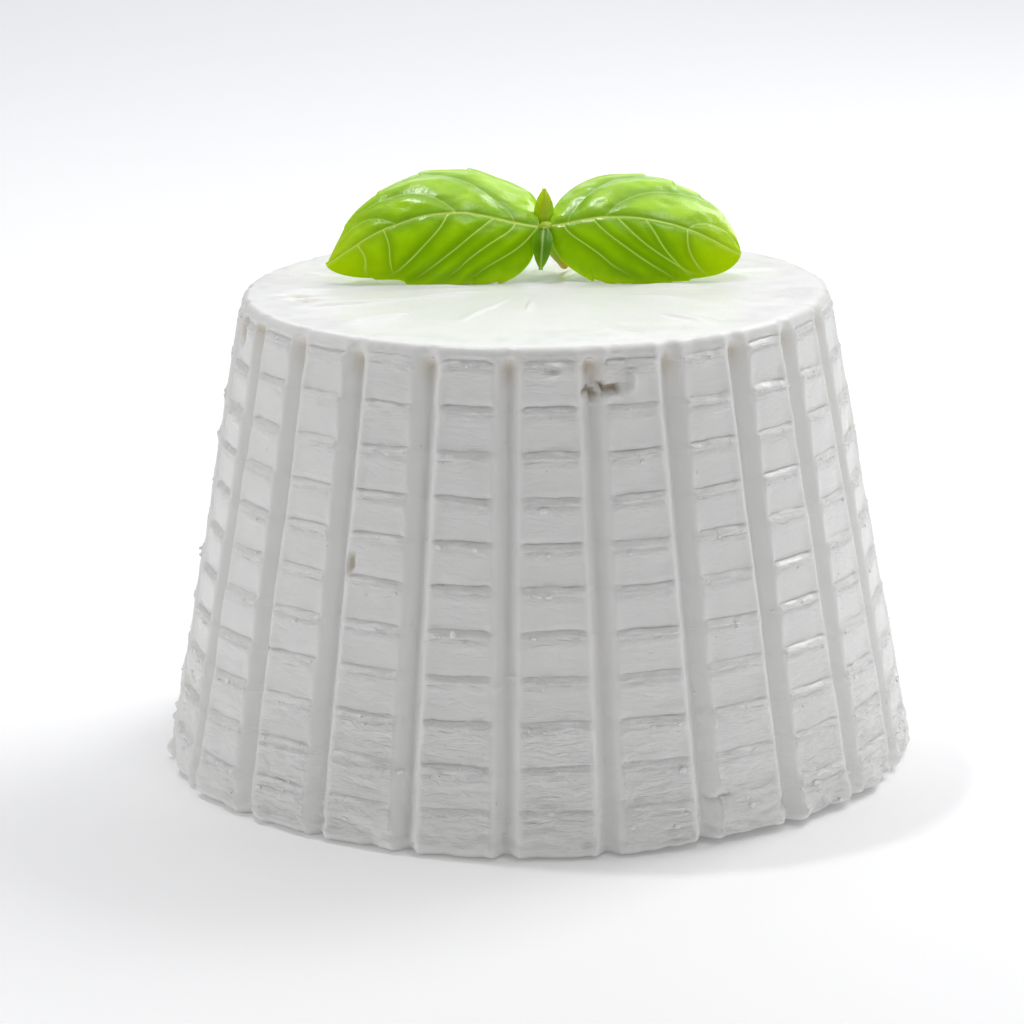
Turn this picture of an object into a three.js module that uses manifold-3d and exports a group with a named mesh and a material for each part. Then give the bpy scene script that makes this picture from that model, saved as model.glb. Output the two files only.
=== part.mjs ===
// Basket-moulded ricotta: a truncated cone of fresh cheese, standing on its wide end, with a
// basil tip resting on its flat top. Millimetres, +Z up, origin at the centre of the underside.
//
// The draining basket leaves two marks on the side: upright ribs press 24 round-bottomed
// grooves into it, and the rings of openings between the ribs let the curd bulge out in
// twelve low courses, so the wall steps outwards like overlapping shingles.

import * as THREE from 'three';
import { mergeVertices } from 'three/addons/utils/BufferGeometryUtils.js';
import Module from 'manifold-3d';

// ---- driving dimensions of the cheese -------------------------------------------------
const HEIGHT = 94;
const FOOT_RADIUS = 75.4; // mean cone of the wall, carried down to the underside
const TOP_RADIUS = 58; // the same cone at the top face
const RIM_ROUNDING = 2.2;
const FOOT_ROUNDING = 2.4;

const COURSE_LINES = 11; // recessed lines round the wall; twelve courses between them
const FIRST_LINE_BELOW_TOP = 2.7;
const COURSE_HEIGHT = 8.2;
const SHOULDER_HEIGHT = 1.8; // the bulging upper edge of each course
const SHOULDER_PROUD = 0.35; // how far a shoulder stands outside the mean cone
const LINE_DEPTH = 0.56; // how far a line lies inside the mean cone

const GROOVE_COUNT = 24;
const GROOVE_TURN = THREE.MathUtils.degToRad(-5); // first groove, from the -Y direction
const GROOVE_RADIUS = 2.3;
const GROOVE_AXIS_OUT = 0.95; // groove centre line, outside the mean cone
const GROOVE_TOP_BELOW_RIM = 2.4;
const GROOVE_OVERRUN = 6; // the cutters run this far past the underside
const GROOVE_FACETS = 10;
const WALL_FACETS = 48;

// ---- driving dimensions of the basil tip ----------------------------------------------
const LEAF_THICKNESS = 0.6;
const YOUNG_LEAF_THICKNESS = 0.5;
const STEM_RADIUS = 0.9;
const STEM_STEPS = 6;

const COLOURS = {
  cheese: { color: '#f2f1ec', roughness: 0.42, metalness: 0 },
  basil: { color: '#6fa80a', roughness: 0.35, metalness: 0 },
  youngBasil: { color: '#9cc41a', roughness: 0.4, metalness: 0 },
  stem: { color: '#b7bd6a', roughness: 0.55, metalness: 0 },
};

const wasm = await Module();
wasm.setup();

// A closed solid from a geometry whose faces share their corners.
function toSolid(geometry) {
  const bare = geometry.clone();
  bare.deleteAttribute('normal');
  bare.deleteAttribute('uv');
  const merged = mergeVertices(bare, 1e-4);
  const corners = Array.from(merged.index.array);
  const triangles = [];
  for (let i = 0; i < corners.length; i += 3) {
    const [a, b, c] = corners.slice(i, i + 3);
    if (a !== b && b !== c && c !== a) triangles.push(a, b, c);
  }
  return new wasm.Manifold(new wasm.Mesh({
    numProp: 3,
    vertProperties: new Float32Array(merged.attributes.position.array),
    triVerts: new Uint32Array(triangles),
  }));
}

function toGeometry(solid) {
  const mesh = solid.getMesh();
  const geometry = new THREE.BufferGeometry();
  geometry.setAttribute('position', new THREE.BufferAttribute(mesh.vertProperties, 3));
  geometry.setIndex(new THREE.BufferAttribute(mesh.triVerts, 1));
  geometry.computeVertexNormals();
  return geometry;
}

// A profile of [radius, height] points turned about +Z; it starts and ends on the axis.
function turned(profile, facets) {
  const points = profile.map(([radius, height]) => new THREE.Vector2(radius, height));
  const geometry = new THREE.LatheGeometry(points, facets);
  geometry.rotateX(Math.PI / 2);
  return geometry;
}

const meanRadius = (z) => FOOT_RADIUS + (TOP_RADIUS - FOOT_RADIUS) * (z / HEIGHT);

// ---- the cheese ------------------------------------------------------------------------
function wallProfile() {
  const footRadius = meanRadius(FOOT_ROUNDING) - LINE_DEPTH / 2;
  const profile = [
    [0, 0],
    [footRadius - FOOT_ROUNDING * 0.7, 0],
    [footRadius - FOOT_ROUNDING * 0.2, FOOT_ROUNDING * 0.4],
    [footRadius, FOOT_ROUNDING],
  ];
  for (let line = COURSE_LINES - 1; line >= 0; line -= 1) {
    const height = HEIGHT - FIRST_LINE_BELOW_TOP - line * COURSE_HEIGHT;
    const shoulder = height - SHOULDER_HEIGHT;
    profile.push([meanRadius(shoulder) + SHOULDER_PROUD, shoulder]);
    profile.push([meanRadius(height) - LINE_DEPTH, height]);
  }
  const rimRadius = meanRadius(HEIGHT - RIM_ROUNDING) - 0.1;
  profile.push([rimRadius, HEIGHT - RIM_ROUNDING]);
  profile.push([rimRadius - RIM_ROUNDING * 0.3, HEIGHT - RIM_ROUNDING * 0.3]);
  profile.push([rimRadius - RIM_ROUNDING, HEIGHT]);
  profile.push([0, HEIGHT]);
  return profile;
}

// One groove cutter: a long rod with a blunt nose, lying along the wall.
function grooveCutter(turn) {
  const slope = Math.atan2(FOOT_RADIUS - TOP_RADIUS, HEIGHT);
  const length = (HEIGHT - GROOVE_TOP_BELOW_RIM + GROOVE_OVERRUN) / Math.cos(slope);
  const rod = turned([
    [0, -length],
    [GROOVE_RADIUS, -length],
    [GROOVE_RADIUS, -GROOVE_RADIUS],
    [GROOVE_RADIUS * 0.6, -GROOVE_RADIUS * 0.3],
    [0, 0],
  ], GROOVE_FACETS);
  const noseHeight = HEIGHT - GROOVE_TOP_BELOW_RIM;
  rod.rotateX(-slope);
  rod.translate(0, -(meanRadius(noseHeight) + GROOVE_AXIS_OUT), noseHeight);
  rod.rotateZ(turn);
  return toSolid(rod);
}

function cheeseGeometry() {
  const body = turned(wallProfile(), WALL_FACETS);
  body.rotateZ(GROOVE_TURN);
  let solid = toSolid(body);
  for (let groove = 0; groove < GROOVE_COUNT; groove += 1) {
    const turn = GROOVE_TURN + (groove * 2 * Math.PI) / GROOVE_COUNT;
    solid = solid.subtract(grooveCutter(turn));
  }
  return toGeometry(solid);
}

// ---- the basil -------------------------------------------------------------------------
// Half width of one half of a basil blade at u, 0 at the base and 1 at the tip. `reach` is
// near its widest; a smaller `swell` moves the widest place to the base, and the power of
// the sine, from `full` at the base to `full + taper` at the tip, rounds or points the ends.
function halfWidth({ reach, swell, full, taper }, u) {
  const wave = Math.max(Math.sin(Math.PI * Math.pow(u, swell)), 0);
  return reach * Math.pow(wave, full + taper * u);
}

// A blade is carried along its midrib. Across the midrib it follows a circular arc: `lean`
// is the angle of the blade above level at the midrib and `arch` how much that angle falls
// from the midrib to the far edge. `flatten` is how much of the arch is gone at the tip.
function bladePoint(blade, u, v) {
  const centre = blade.midrib.getPoint(u);
  const along = blade.midrib.getTangent(u);
  const back = blade.side.clone();
  back.addScaledVector(along, -back.dot(along)).normalize();
  const up = new THREE.Vector3().crossVectors(back, along);
  up.multiplyScalar(Math.sign(up.dot(blade.upward)));
  const ease = Math.pow(u, 4);
  const lean = THREE.MathUtils.degToRad(blade.lean + blade.tipLean * ease);
  const arch = THREE.MathUtils.degToRad(blade.arch * (1 - blade.flatten * ease));
  const width = Math.max(halfWidth(v < 0 ? blade.near : blade.far, u), blade.endHalfWidth);
  const across = (width * (Math.sin(lean) - Math.sin(lean - arch * v))) / arch;
  const rise = (width * (Math.cos(lean - arch * v) - Math.cos(lean))) / arch;
  return centre.addScaledVector(back, across).addScaledVector(up, rise);
}

// A closed sheet round a blade: the blade's surface moved half the thickness to each side,
// with a band of faces round the edge.
function bladeGeometry(blade, rows, columns) {
  const width = columns + 1;
  const positions = [];
  for (const side of [0.5, -0.5]) {
    for (let row = 0; row <= rows; row += 1) {
      for (let column = 0; column <= columns; column += 1) {
        const u = row / rows;
        const v = (2 * column) / columns - 1;
        const step = 0.01;
        const point = bladePoint(blade, u, v);
        const inner = THREE.MathUtils.clamp(u, 0.02, 0.98);
        const alongU = bladePoint(blade, inner + step, v).sub(bladePoint(blade, inner - step, v));
        const alongV = bladePoint(blade, inner, v + step).sub(bladePoint(blade, inner, v - step));
        const normal = alongU.cross(alongV).normalize();
        point.addScaledVector(normal, side * blade.thickness);
        positions.push(point.x, point.y, point.z);
      }
    }
  }
  const lower = (rows + 1) * width;
  const index = [];
  const quad = (a, b, c, d) => index.push(a, b, c, a, c, d);
  for (let row = 0; row < rows; row += 1) {
    for (let column = 0; column < columns; column += 1) {
      const a = row * width + column;
      quad(a, a + width, a + width + 1, a + 1);
      quad(lower + a, lower + a + 1, lower + a + width + 1, lower + a + width);
    }
    const left = row * width;
    const right = left + columns;
    quad(left, lower + left, lower + left + width, left + width);
    quad(right, right + width, lower + right + width, lower + right);
  }
  for (let column = 0; column < columns; column += 1) {
    const base = column;
    const tip = rows * width + column;
    quad(base, base + 1, lower + base + 1, lower + base);
    quad(tip, lower + tip, lower + tip + 1, tip + 1);
  }
  const geometry = new THREE.BufferGeometry();
  geometry.setAttribute('position', new THREE.Float32BufferAttribute(positions, 3));
  geometry.setIndex(index);
  geometry.computeVertexNormals();
  return geometry;
}

const BACK = new THREE.Vector3(0, 1, 0);
const UP = new THREE.Vector3(0, 0, 1);
const curve = (points) => new THREE.CatmullRomCurve3(points.map((p) => new THREE.Vector3(...p)));

// The two large leaves stand on their near edges, midribs up, and arch over backwards.
const LEFT_LEAF = {
  midrib: curve([[0.1, 10, 104.2], [-15, 8.2, 107.6], [-29.5, 7.2, 105], [-41.6, 6, 97.6]]),
  near: { reach: 14.7, swell: 0.69, full: 0.37, taper: 0.25 },
  far: { reach: 15.6, swell: 0.61, full: 0.26, taper: 0.8 },
  side: BACK, upward: UP, lean: 46, tipLean: 18, arch: 44, flatten: 0.8,
  endHalfWidth: 0.5, thickness: LEAF_THICKNESS,
};
const RIGHT_LEAF = {
  midrib: curve([[3.9, 10, 104.4], [15.6, 8.2, 106.6], [30.3, 7, 104.1], [41.2, 6, 98.9]]),
  near: { reach: 13.5, swell: 0.7, full: 0.55, taper: -0.1 },
  far: { reach: 15.6, swell: 0.66, full: 0.6, taper: 0.2 },
  side: BACK, upward: UP, lean: 46, tipLean: 15, arch: 44, flatten: 0.8,
  endHalfWidth: 0.5, thickness: LEAF_THICKNESS,
};
// The two young leaves of the shoot's tip: one stands up behind, one hangs down in front.
const YOUNG_HALF = { reach: 1.95, swell: 0.77, full: 0.42, taper: 0.3 };
const YOUNG_BLADE = {
  near: YOUNG_HALF, far: YOUNG_HALF,
  side: new THREE.Vector3(1, 0, 0), upward: UP, lean: 0, tipLean: 0, arch: 30, flatten: 0.5,
  endHalfWidth: 0.35, thickness: YOUNG_LEAF_THICKNESS,
};
const BACK_YOUNG_LEAF = {
  ...YOUNG_BLADE, midrib: curve([[2, 11.6, 104.2], [2, 11.8, 107.4], [2.1, 13, 111.6]]),
};
const FRONT_YOUNG_LEAF = {
  ...YOUNG_BLADE, midrib: curve([[1.9, 8.6, 104.4], [1.6, 6.2, 101.6], [1.2, 4.6, 96.6]]),
};

// The cut stem bends down behind the leaves to the cheese.
function stemGeometry() {
  const section = new THREE.Shape();
  section.absarc(0, 0, STEM_RADIUS, 0, Math.PI * 2);
  const path = curve([[2, 10.1, 103.4], [3.4, 12.2, 99.4], [6.2, 15.4, 95.4]]);
  return new THREE.ExtrudeGeometry(section, {
    steps: STEM_STEPS, curveSegments: 4, bevelEnabled: false, extrudePath: path,
  });
}

// ---- assembly --------------------------------------------------------------------------
const ricotta = new THREE.Group();

function addPiece(name, geometry, look) {
  const mesh = new THREE.Mesh(geometry, new THREE.MeshStandardMaterial(look));
  mesh.name = name;
  ricotta.add(mesh);
}

addPiece('ricotta_cheese', cheeseGeometry(), COLOURS.cheese);
addPiece('basil_leaf_left', bladeGeometry(LEFT_LEAF, 14, 8), COLOURS.basil);
addPiece('basil_leaf_right', bladeGeometry(RIGHT_LEAF, 14, 8), COLOURS.basil);
addPiece('basil_young_leaf_back', bladeGeometry(BACK_YOUNG_LEAF, 6, 4), COLOURS.youngBasil);
addPiece('basil_young_leaf_front', bladeGeometry(FRONT_YOUNG_LEAF, 6, 4), COLOURS.basil);
addPiece('basil_stem', stemGeometry(), COLOURS.stem);

export default ricotta;
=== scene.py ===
# %% [markdown]
# # A moulded ricotta with a basil tip
#
# A fresh ricotta keeps the print of its draining basket: upright ribs leave round-bottomed
# grooves, and the openings between them let the curd bulge out in low courses.
#
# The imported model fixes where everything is. This script makes the surfaces that the eye
# sees: a closed skin for the cheese, a closed sheet for each leaf, and a small stem. Sizes
# are in millimetres, except for the lights, and `MM` turns them into metres.

import math

import bpy
import numpy as np
from mathutils import Matrix, Vector


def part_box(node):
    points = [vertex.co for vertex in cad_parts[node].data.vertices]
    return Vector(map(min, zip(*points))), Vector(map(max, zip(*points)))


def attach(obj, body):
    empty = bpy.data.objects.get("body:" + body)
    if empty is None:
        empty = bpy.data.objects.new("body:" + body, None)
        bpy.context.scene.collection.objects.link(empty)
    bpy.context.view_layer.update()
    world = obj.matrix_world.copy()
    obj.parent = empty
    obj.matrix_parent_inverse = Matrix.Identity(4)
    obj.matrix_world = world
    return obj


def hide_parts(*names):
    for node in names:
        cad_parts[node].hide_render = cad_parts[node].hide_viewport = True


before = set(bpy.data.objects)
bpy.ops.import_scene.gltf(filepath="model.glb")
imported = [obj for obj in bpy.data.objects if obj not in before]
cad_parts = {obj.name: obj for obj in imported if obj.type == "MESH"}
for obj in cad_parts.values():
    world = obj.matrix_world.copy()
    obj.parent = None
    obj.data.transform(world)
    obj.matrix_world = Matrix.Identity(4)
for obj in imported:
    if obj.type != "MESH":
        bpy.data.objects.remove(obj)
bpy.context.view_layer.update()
MM = 0.001

# %% [markdown]
# ## Small tools
#
# `smooth_noise` gives the slow random swells of a soft, hand-filled material, with fixed
# seeds so that the cheese is the same each time. `add_mesh` turns arrays into a mesh, and
# `add_node` and the functions after it build materials.

# %% Noise on a lattice
LATTICE = 256


def smooth_noise(x, y, seed, wrap=LATTICE):
    """Random heights from -1 to 1 on a unit lattice, eased between neighbours with the curve
    3t^2 - 2t^3 in both directions. The lattice repeats every `wrap` cells along x."""
    table = np.random.default_rng(seed).uniform(-1, 1, (wrap, LATTICE))
    column = np.floor(x).astype(int)
    row = np.floor(y).astype(int)
    across = x - column
    up = y - row
    across = across * across * (3 - 2 * across)
    up = up * up * (3 - 2 * up)
    left = column % wrap
    right = (column + 1) % wrap
    below = row % LATTICE
    above = (row + 1) % LATTICE
    low = table[left, below] * (1 - across) + table[right, below] * across
    high = table[left, above] * (1 - across) + table[right, above] * across
    return low * (1 - up) + high * up


def smoothstep(start, end, value):
    """0 before start, 1 after end, and the ease curve 3t^2 - 2t^3 between them."""
    t = np.clip((value - start) / (end - start), 0, 1)
    return t * t * (3 - 2 * t)


def bump(distance, width):
    """A bell of height 1 at distance 0: e to the minus (distance / width) squared."""
    return np.exp(-((distance / width) ** 2))


def unit(vectors):
    """The same directions with length 1."""
    return vectors / np.linalg.norm(vectors, axis=-1, keepdims=True)


# %% Arrays into a mesh
def faces_of(*corners):
    """Faces from arrays of point numbers, one array or one number for each corner."""
    return np.stack(np.broadcast_arrays(*corners), -1).reshape(-1, len(corners)).tolist()


def add_mesh(name, points_mm, faces, attributes):
    """A smooth-shaded mesh object at the origin from points in millimetres and faces given as
    corner numbers. Each attribute is one number for each point."""
    mesh = bpy.data.meshes.new(name)
    mesh.from_pydata((points_mm * MM).tolist(), [], faces)
    mesh.validate()
    mesh.polygons.foreach_set("use_smooth", np.ones(len(mesh.polygons), bool))
    for key, values in attributes.items():
        layer = mesh.attributes.new(key, "FLOAT", "POINT")
        layer.data.foreach_set("value", np.ascontiguousarray(values, np.float32))
    mesh.update()
    piece = bpy.data.objects.new(name, mesh)
    bpy.context.scene.collection.objects.link(piece)
    triangles = sum(len(face) - 2 for face in faces)
    print(f"{name}: {len(points_mm)} points, {triangles} triangles")
    return piece


# %% Colours and shader nodes
def colour(hex_code):
    """An sRGB hex colour as the linear colour with alpha that shaders work in."""
    channels = np.array([int(hex_code[i:i + 2], 16) / 255 for i in (1, 3, 5)])
    dark = channels / 12.92
    light = ((channels + 0.055) / 1.055) ** 2.4
    return (*np.where(channels <= 0.04045, dark, light).tolist(), 1.0)


def add_node(tree, kind, settings=None, links=None, **inputs):
    """One shader node: `settings` are its own properties, `inputs` the values of its sockets
    and `links` the sockets that other nodes feed."""
    node = tree.nodes.new(kind)
    for key, value in (settings or {}).items():
        setattr(node, key, value)
    for key, value in inputs.items():
        node.inputs[key.replace("_", " ")].default_value = value
    for key, source in (links or {}).items():
        tree.links.new(source, node.inputs[key])
    return node


def new_material(name):
    """An empty node material: the material, its tree, its output and the object coordinates."""
    material = bpy.data.materials.new(name)
    material.use_nodes = True
    tree = material.node_tree
    tree.nodes.clear()
    output = tree.nodes.new("ShaderNodeOutputMaterial")
    return material, tree, output, add_node(tree, "ShaderNodeTexCoord").outputs["Object"]


def attribute(tree, name):
    """The number that the mesh's points carry under this name."""
    return add_node(tree, "ShaderNodeAttribute", {"attribute_name": name}).outputs["Fac"]


def noise(tree, place, size_mm, detail):
    """Noise whose patches are about this many millimetres wide."""
    links = {"Vector": place}
    scale = 1 / (size_mm * MM)
    node = add_node(tree, "ShaderNodeTexNoise", None, links, Scale=scale, Detail=detail)
    return node.outputs["Fac"]


def move_range(tree, value, source=(0, 1), target=(0, 1), kind="LINEAR"):
    """A value moved from one range to another, straight or eased."""
    node = add_node(tree, "ShaderNodeMapRange", {"interpolation_type": kind}, {"Value": value})
    for key, number in zip(("From Min", "From Max", "To Min", "To Max"), (*source, *target)):
        node.inputs[key].default_value = number
    return node.outputs["Result"]


def combine(tree, operation, first, second):
    """Two values put through one arithmetic operation."""
    node = add_node(tree, "ShaderNodeMath", {"operation": operation})
    tree.links.new(first, node.inputs[0])
    tree.links.new(second, node.inputs[1])
    return node.outputs["Value"]


def blend(tree, share, first, second):
    """A colour between two others, each a hex code or another node's output."""
    node = add_node(tree, "ShaderNodeMix", {"data_type": "RGBA"}, {"Factor": share})
    for socket, source in ((node.inputs[6], first), (node.inputs[7], second)):
        if isinstance(source, str):
            socket.default_value = colour(source)
        else:
            tree.links.new(source, socket)
    return node.outputs[2]


def relief(tree, height, strength, depth_mm, below=None):
    """The normal that a bump gives, on top of the normal of the bump below it."""
    links = {"Height": height} if below is None else {"Height": height, "Normal": below}
    depth = depth_mm * MM
    node = add_node(tree, "ShaderNodeBump", None, links, Strength=strength, Distance=depth)
    return node.outputs["Normal"]


def surface(material, tree, output, links, **inputs):
    """The shader that ends every material here; it hands the material back."""
    skin = add_node(tree, "ShaderNodeBsdfPrincipled", None, links, **inputs)
    tree.links.new(skin.outputs["BSDF"], output.inputs["Surface"])
    return material


def hand_over(piece, node, material):
    """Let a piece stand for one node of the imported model, in one slot, with one material."""
    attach(piece, "root")
    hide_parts(node)
    piece.data.materials.append(material)


# %% [markdown]
# ## The camera
#
# The camera stands about five foot-widths away and 15 cm above the top of the cheese. Its
# long lens keeps the grooves nearly straight, and it is turned and rolled by a hair.

# %% Camera
CAMERA_BACK = 752.3
CAMERA_HEIGHT = 242.6
CAMERA_TILT = math.radians(14.51)
CAMERA_ROLL = math.radians(0.67)
CAMERA_TURN = math.radians(0.385)
LENS_MM = 135.4

turn = Matrix.Rotation(CAMERA_TURN, 3, "Z")
forward = turn @ Vector((0, math.cos(CAMERA_TILT), -math.sin(CAMERA_TILT)))
level_right = turn @ Vector((1, 0, 0))
level_up = level_right.cross(forward)
right = level_right * math.cos(CAMERA_ROLL) - level_up * math.sin(CAMERA_ROLL)
up = level_up * math.cos(CAMERA_ROLL) + level_right * math.sin(CAMERA_ROLL)

camera = bpy.data.objects.new("camera", bpy.data.cameras.new("camera"))
bpy.context.scene.collection.objects.link(camera)
camera.data.lens = LENS_MM
camera.data.sensor_width = 36
camera.data.clip_start = 0.05
camera.data.clip_end = 30
orientation = Matrix((right, up, -forward)).transposed()
station = Matrix.Translation((0, -CAMERA_BACK * MM, CAMERA_HEIGHT * MM))
camera.matrix_world = station @ orientation.to_4x4()
bpy.context.scene.camera = camera
print("camera tilt, degrees:", round(math.degrees(CAMERA_TILT), 2))

# %% [markdown]
# ## The studio
#
# White cheese on a white table turns flat unless most light comes from above and behind.
# Soft panels hang over the table and stand at its sides, a dim even sky fills the front, and
# a small lamp at the back left gives the shadow at the right foot its edge.

# %% Floor and lights
CHEESE_MIDDLE = (0, 0, 0.05)


def area_light(name, place, size, power, aim=CHEESE_MIDDLE, tint="#ffffff"):
    """A square soft panel at `place`, turned towards `aim`; places and size in metres."""
    light = bpy.data.lights.new(name, "AREA")
    light.shape = "SQUARE"
    light.size = size
    light.energy = power
    light.color = colour(tint)[:3]
    panel = bpy.data.objects.new(name, light)
    bpy.context.scene.collection.objects.link(panel)
    panel.location = place
    panel.rotation_mode = "QUATERNION"
    panel.rotation_quaternion = (Vector(aim) - Vector(place)).to_track_quat("-Z", "Y")


area_light("panel_above", (0.0, 0.45, 1.15), 0.8, 1.8, aim=(0, 0.05, 0))
area_light("panel_over_front", (0.24, -0.2, 1.1), 0.25, 1.25)
area_light("panel_back_right", (0.62, 0.6, 1.0), 0.5, 5.8)
area_light("panel_table_end", (0.0, 2.0, 1.1), 1.4, 10.4, aim=(0, 1.8, 0), tint="#f4f7ff")
area_light("panel_right", (1.05, 0.0, 0.5), 0.7, 0.95)
area_light("panel_near_right", (0.42, 0.05, 0.5), 0.25, 0.27, aim=(0.05, 0, 0.05))
area_light("panel_left", (-1.3, -0.1, 0.5), 1.2, 3.75)
area_light("lamp_back_left", (-0.27, 0.225, 1.15), 0.05, 2.5)

world = bpy.data.worlds.new("studio_sky")
bpy.context.scene.world = world
world.use_nodes = True
sky = world.node_tree.nodes["Background"].inputs
sky["Color"].default_value = colour("#f7f7f8")
sky["Strength"].default_value = 0.215

floor_paint = surface(
    *new_material("white_lacquered_board")[:3], {},
    Base_Color=colour("#fbfbfc"), Roughness=0.75, Specular_IOR_Level=0.2,
    Emission_Color=colour("#ffffff"), Emission_Strength=0.08,
)
REACH = 6.0
floor_mesh = bpy.data.meshes.new("floor")
floor_corners = [(-REACH, -REACH, 0), (REACH, -REACH, 0), (REACH, REACH, 0), (-REACH, REACH, 0)]
floor_mesh.from_pydata(floor_corners, [], [(0, 1, 2, 3)])
floor = bpy.data.objects.new("floor", floor_mesh)
bpy.context.scene.collection.objects.link(floor)
floor.data.materials.append(floor_paint)
bpy.context.scene.view_settings.view_transform = "Standard"
print("studio: seven soft panels, one small lamp and a dim sky")

# %% [markdown]
# ## The cheese: one skin round a truncated cone
#
# A boolean cut would leave hard edges that cheese never has. So the skin is one sheet of
# points round the cone: columns go round, rows go up. Columns gather at the grooves and rows
# at the lines between courses, where the surface bends most. One function of angle and
# height then pushes each point in or out.

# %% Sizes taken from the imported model
cheese_low, cheese_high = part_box("ricotta_cheese")
HEIGHT = cheese_high.z / MM
WIDEST = cheese_high.x / MM
FOOT_RADIUS = WIDEST * 1.0107  # the mean cone of the wall, at the underside
TOP_RADIUS = WIDEST * 0.7775  # and at the top face
RIM_ROUNDING = 1.7
FOOT_ROUNDING = 1.9

COURSE_LINES = 11
FIRST_LINE_BELOW_TOP = 2.7
COURSE_HEIGHT = 8.2

SECTORS = 24
GROOVE_TURN = math.radians(-5)
GROOVE_HALF_WIDTH = 1.85
GROOVE_DEPTH = 2.4
GROOVE_COLUMNS = 12
PANEL_COLUMNS = 12
GROOVE_ZONE = 3.3  # half the width that the groove's columns cover, lips included
COLUMNS = SECTORS * (GROOVE_COLUMNS + PANEL_COLUMNS)


def mean_radius(z):
    """The straight cone between the foot radius and the top radius."""
    return FOOT_RADIUS + (TOP_RADIUS - FOOT_RADIUS) * z / HEIGHT


print("mean cone, mm:", round(FOOT_RADIUS, 1), "to", round(TOP_RADIUS, 1), "over", round(HEIGHT, 1))


# %% Columns that gather at the grooves
sector_number = np.arange(COLUMNS) // (GROOVE_COLUMNS + PANEL_COLUMNS)


def column_places(radius):
    """For each column on circles of this radius: the arc length in mm from the last groove,
    its angle, and the sector's whole arc. Columns are even within a zone or a panel."""
    radius = np.asarray(radius, float)[:, None]
    sector = 2 * math.pi * radius / SECTORS
    step = np.arange(COLUMNS) % (GROOVE_COLUMNS + PANEL_COLUMNS)
    half = GROOVE_COLUMNS // 2
    into_zone = GROOVE_ZONE * step / half
    into_panel = GROOVE_ZONE + (sector - 2 * GROOVE_ZONE) * (step - half) / PANEL_COLUMNS
    out_of_panel = sector - GROOVE_ZONE * (half * 2 + PANEL_COLUMNS - step) / half
    arc = np.where(step <= half + PANEL_COLUMNS, into_panel, out_of_panel)
    arc = np.where(step <= half, into_zone, arc)
    angle = GROOVE_TURN + (sector_number + arc / sector) * 2 * math.pi / SECTORS
    return arc, angle, sector


# %% Rows that gather at the lines between courses
UPPER_COURSE_ROWS = np.array([0.0, 0.3, 0.75, 1.1, 1.6, 2.2, 3.4, 5.2, 6.8, 7.9])
LOWER_COURSE_ROWS = np.array([0.0, 0.3, 0.75, 1.1, 1.6, 2.2, 2.8, 3.5, 4.2, 4.9, 5.6, 6.3, 7.0, 7.9])
FIRST_LOWER_COURSE = 7
line_heights = HEIGHT - FIRST_LINE_BELOW_TOP - COURSE_HEIGHT * np.arange(COURSE_LINES)


def wall_rows():
    """Each row's height, the number of the course line above it and its drop below that line.
    The first course, which is chipped, and the lower, creased ones get more rows."""
    heights = []
    for line, top in enumerate(line_heights):
        below = UPPER_COURSE_ROWS if 0 < line < FIRST_LOWER_COURSE else LOWER_COURSE_ROWS
        below = below[top - below > FOOT_ROUNDING]
        heights += [(top - drop, line, drop) for drop in below]
    rim_start = FIRST_LINE_BELOW_TOP - RIM_ROUNDING
    heights += [(line_heights[0] + rise, -1, COURSE_HEIGHT - rise) for rise in (0.2, rim_start)]
    return np.array(sorted(heights))


rows = wall_rows()
row_height, row_line, row_drop = rows.T
row_line = row_line.astype(int)
print("wall rows:", len(rows), "columns:", COLUMNS)

# %% [markdown]
# ### What pushes the wall in and out
#
# The causes are the step of a course, the groove of a rib, the lip squeezed up beside it,
# the slow swell of a soft cheese, the creases near the foot, where the weight above pressed
# the curd through the openings, and a few flaws. Every opening of the basket filled a little
# differently, so each panel has its own numbers for its upper line.

# %% Each panel's own numbers
panel_random = np.random.default_rng(7)
PANEL_TABLE = (SECTORS, COURSE_LINES + 2)
line_offset = panel_random.normal(0, 0.15, PANEL_TABLE)
line_tilt = panel_random.normal(0, 0.2, PANEL_TABLE)
line_bow = panel_random.normal(0, 0.12, PANEL_TABLE)
line_strength = panel_random.uniform(0.65, 1.25, PANEL_TABLE)
second_step = panel_random.uniform(0.0, 1.3, PANEL_TABLE)
panel_swell = panel_random.normal(0, 0.1, PANEL_TABLE)
line_strength[:, :2] *= panel_random.uniform(0.25, 0.9, (SECTORS, 2))
line_offset[:, :2] *= 1.6
for table in (line_offset, line_tilt, line_bow):
    table[:, -1] = 0
print("panels:", SECTORS * COURSE_LINES)


# %% Steps of the courses
STEP_DROPS = (0.0, 0.3, 0.75, 1.1, 1.6, 2.2, 3.4, 5.2, 6.8, 7.9, 8.2)
STEP_PUSH = (-0.64, -0.24, 0.2, 0.38, 0.1, 0.18, 0.17, 0.02, -0.12, -0.26, -0.64)
SECOND_STEP_PUSH = (0, 0, 0, -0.05, -0.14, 0.13, 0.03, 0, 0, 0, 0)


def course_step(drop, strength, second):
    """Distance outside the mean cone, `drop` mm below a course line: a narrow crease, a shelf
    that slopes outwards, a small second step, and a face that falls back."""
    step = np.interp(drop, STEP_DROPS, STEP_PUSH)
    return strength * step + second * np.interp(drop, STEP_DROPS, SECOND_STEP_PUSH)


# %% Grooves and their lips
def groove_profile(distance):
    """A groove's share of its whole depth, at a distance in mm from its middle: half a
    cosine wave."""
    inside = np.clip(distance / (GROOVE_HALF_WIDTH + 0.75), 0, 1)
    return 0.5 + 0.5 * np.cos(math.pi * inside)


def lip_profile(distance):
    """Height of the low lip beside a groove, a bell that is about 2 mm wide."""
    return bump(distance - GROOVE_HALF_WIDTH - 1.0, 0.8)


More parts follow.
